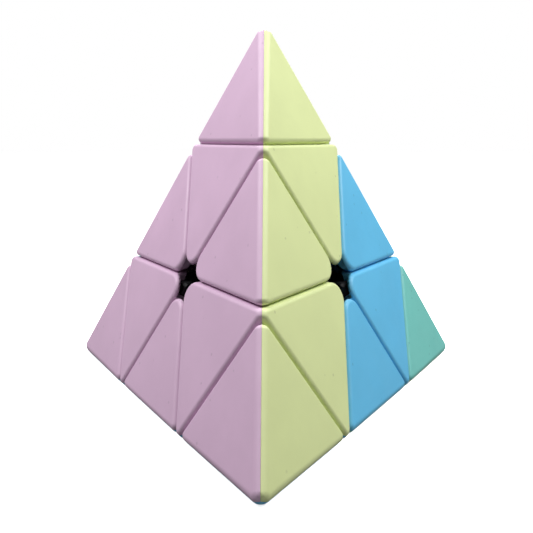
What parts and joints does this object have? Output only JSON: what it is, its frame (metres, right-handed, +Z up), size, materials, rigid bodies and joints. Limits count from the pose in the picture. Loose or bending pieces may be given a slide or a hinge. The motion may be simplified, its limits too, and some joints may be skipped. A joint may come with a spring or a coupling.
{
  "type": "pyramid twisty puzzle",
  "caption": "Pyramid-shaped twisty puzzle with coloured plastic shells; its corner layers and tips turn on sprung screws about a hidden core.",
  "frame": {"origin": "the core's centre, where all four turning axes meet, which is the pyramid's centroid", "axes": "+Z up to the top corner, -Y towards the front corner at the base, +X to the right corner"},
  "size_m": [0.0996, 0.0871, 0.0821],
  "materials": {
    "pink_plastic": "satin moulded plastic, pastel pink",
    "yellow_plastic": "satin moulded plastic, pastel yellow",
    "green_plastic": "satin moulded plastic, pastel mint green",
    "blue_plastic": "satin moulded plastic, pastel blue",
    "black_plastic": "matte moulded plastic, black",
    "steel": "plain steel wire and screws"
  },
  "bodies": {
    "core": {"core": "black_plastic", "axle_screws": "steel", "axle_springs": "steel", "axle_washers": "steel"},
    "top_tip": {"top_tip_base": "black_plastic", "top_tip_left_shell": "pink_plastic", "top_tip_right_shell": "yellow_plastic", "top_tip_back_shell": "green_plastic"},
    "front_tip": {"front_tip_base": "black_plastic", "front_tip_left_shell": "pink_plastic", "front_tip_right_shell": "yellow_plastic", "front_tip_bottom_shell": "blue_plastic"},
    "left_tip": {"left_tip_base": "black_plastic", "left_tip_left_shell": "pink_plastic", "left_tip_back_shell": "green_plastic", "left_tip_bottom_shell": "blue_plastic"},
    "right_tip": {"right_tip_base": "black_plastic", "right_tip_right_shell": "green_plastic", "right_tip_back_shell": "blue_plastic", "right_tip_bottom_shell": "yellow_plastic"},
    "top_axial": {"top_axial_carrier": "black_plastic", "top_axial_left_shell": "pink_plastic", "top_axial_right_shell": "yellow_plastic", "top_axial_back_shell": "green_plastic"},
    "front_axial": {"front_axial_carrier": "black_plastic", "front_axial_left_shell": "pink_plastic", "front_axial_right_shell": "yellow_plastic", "front_axial_bottom_shell": "blue_plastic"},
    "left_axial": {"left_axial_carrier": "black_plastic", "left_axial_left_shell": "pink_plastic", "left_axial_back_shell": "green_plastic", "left_axial_bottom_shell": "blue_plastic"},
    "right_axial": {"right_axial_carrier": "black_plastic", "right_axial_right_shell": "blue_plastic", "right_axial_back_shell": "yellow_plastic", "right_axial_bottom_shell": "green_plastic"},
    "top_front_edge": {"top_front_edge_hook": "black_plastic", "top_front_edge_left_shell": "pink_plastic", "top_front_edge_right_shell": "yellow_plastic"},
    "top_left_edge": {"top_left_edge_hook": "black_plastic", "top_left_edge_left_shell": "pink_plastic", "top_left_edge_back_shell": "green_plastic"},
    "top_right_edge": {"top_right_edge_hook": "black_plastic", "top_right_edge_right_shell": "blue_plastic", "top_right_edge_back_shell": "yellow_plastic"},
    "front_left_edge": {"front_left_edge_hook": "black_plastic", "front_left_edge_left_shell": "pink_plastic", "front_left_edge_bottom_shell": "blue_plastic"},
    "front_right_edge": {"front_right_edge_hook": "black_plastic", "front_right_edge_right_shell": "blue_plastic", "front_right_edge_bottom_shell": "green_plastic"},
    "left_right_edge": {"left_right_edge_hook": "black_plastic", "left_right_edge_back_shell": "yellow_plastic", "left_right_edge_bottom_shell": "green_plastic"}
  },
  "joints": [
    {"name": "top_layer_turn", "type": "hinge", "parent": "core", "child": "top_axial", "pos_m": [0, 0, 0], "axis": [0, 0, 1], "range_deg": [-240, 120]},
    {"name": "front_layer_turn", "type": "hinge", "parent": "core", "child": "front_axial", "pos_m": [0, 0, 0], "axis": [0, -0.9428, -0.3333], "range_deg": [-240, 120]},
    {"name": "left_layer_turn", "type": "hinge", "parent": "core", "child": "left_axial", "pos_m": [0, 0, 0], "axis": [-0.8165, 0.4714, -0.3333], "range_deg": [-240, 120]},
    {"name": "right_layer_turn", "type": "hinge", "parent": "core", "child": "right_axial", "pos_m": [0, 0, 0], "axis": [0.8165, 0.4714, -0.3333], "range_deg": [-240, 120]},
    {"name": "top_tip_turn", "type": "hinge", "parent": "top_axial", "child": "top_tip", "pos_m": [0, 0, 0], "axis": [0, 0, 1], "continuous": true},
    {"name": "front_tip_turn", "type": "hinge", "parent": "front_axial", "child": "front_tip", "pos_m": [0, 0, 0], "axis": [0, -0.9428, -0.3333], "continuous": true},
    {"name": "left_tip_turn", "type": "hinge", "parent": "left_axial", "child": "left_tip", "pos_m": [0, 0, 0], "axis": [-0.8165, 0.4714, -0.3333], "continuous": true},
    {"name": "right_tip_turn", "type": "hinge", "parent": "right_axial", "child": "right_tip", "pos_m": [0, 0, 0], "axis": [0.8165, 0.4714, -0.3333], "continuous": true},
    {"name": "top_front_edge_turn", "type": "hinge", "parent": "top_axial", "child": "top_front_edge", "pos_m": [0, 0, 0], "axis": [0, -0.9428, -0.3333], "range_deg": [-240, 120]},
    {"name": "top_left_edge_turn", "type": "hinge", "parent": "top_axial", "child": "top_left_edge", "pos_m": [0, 0, 0], "axis": [-0.8165, 0.4714, -0.3333], "range_deg": [-240, 120]},
    {"name": "top_right_edge_turn", "type": "hinge", "parent": "top_axial", "child": "top_right_edge", "pos_m": [0, 0, 0], "axis": [0.8165, 0.4714, -0.3333], "range_deg": [-240, 120]},
    {"name": "front_left_edge_turn", "type": "hinge", "parent": "left_axial", "child": "front_left_edge", "pos_m": [0, 0, 0], "axis": [0, -0.9428, -0.3333], "range_deg": [-240, 120]},
    {"name": "front_right_edge_turn", "type": "hinge", "parent": "front_axial", "child": "front_right_edge", "pos_m": [0, 0, 0], "axis": [0.8165, 0.4714, -0.3333], "range_deg": [-240, 120]},
    {"name": "left_right_edge_turn", "type": "hinge", "parent": "right_axial", "child": "left_right_edge", "pos_m": [0, 0, 0], "axis": [-0.8165, 0.4714, -0.3333], "range_deg": [-240, 120]}
  ],
  "couplings": [
    {"joint": "top_front_edge_turn", "follows": "front_layer_turn", "ratio": 1},
    {"joint": "top_left_edge_turn", "follows": "left_layer_turn", "ratio": 1},
    {"joint": "top_right_edge_turn", "follows": "right_layer_turn", "ratio": 1},
    {"joint": "front_left_edge_turn", "follows": "front_layer_turn", "ratio": 1},
    {"joint": "front_right_edge_turn", "follows": "right_layer_turn", "ratio": 1},
    {"joint": "left_right_edge_turn", "follows": "left_layer_turn", "ratio": 1}
  ]
}
